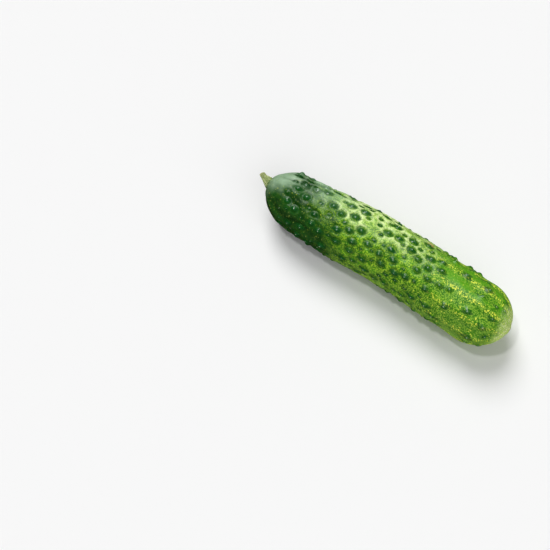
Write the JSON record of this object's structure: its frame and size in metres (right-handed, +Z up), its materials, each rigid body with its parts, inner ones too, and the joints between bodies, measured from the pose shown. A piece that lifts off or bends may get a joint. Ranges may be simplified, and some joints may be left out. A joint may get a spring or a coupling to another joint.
{
  "type": "cucumber",
  "caption": "Small warty pickling cucumber with a short stem stub, lying on its side: a blunt, slightly tapered green fruit covered in knobs.",
  "frame": {"origin": "middle of the whole part's box in X and Y, on the surface that the cucumber lies on", "axes": "+X along the cucumber from its stem end to its blossom end, +Z up, away from the surface"},
  "size_m": [0.1214, 0.0296, 0.0281],
  "materials": {
    "skin": "semi-gloss waxy skin, dark blue-green at the stem end and mid green with yellow-green speckles towards the blossom end, with dark warts",
    "stem": "dull, faintly ribbed pale green stalk, drying at the cut end"
  },
  "bodies": {
    "root": {"fruit": "skin", "stem": "stem"}
  },
  "joints": []
}
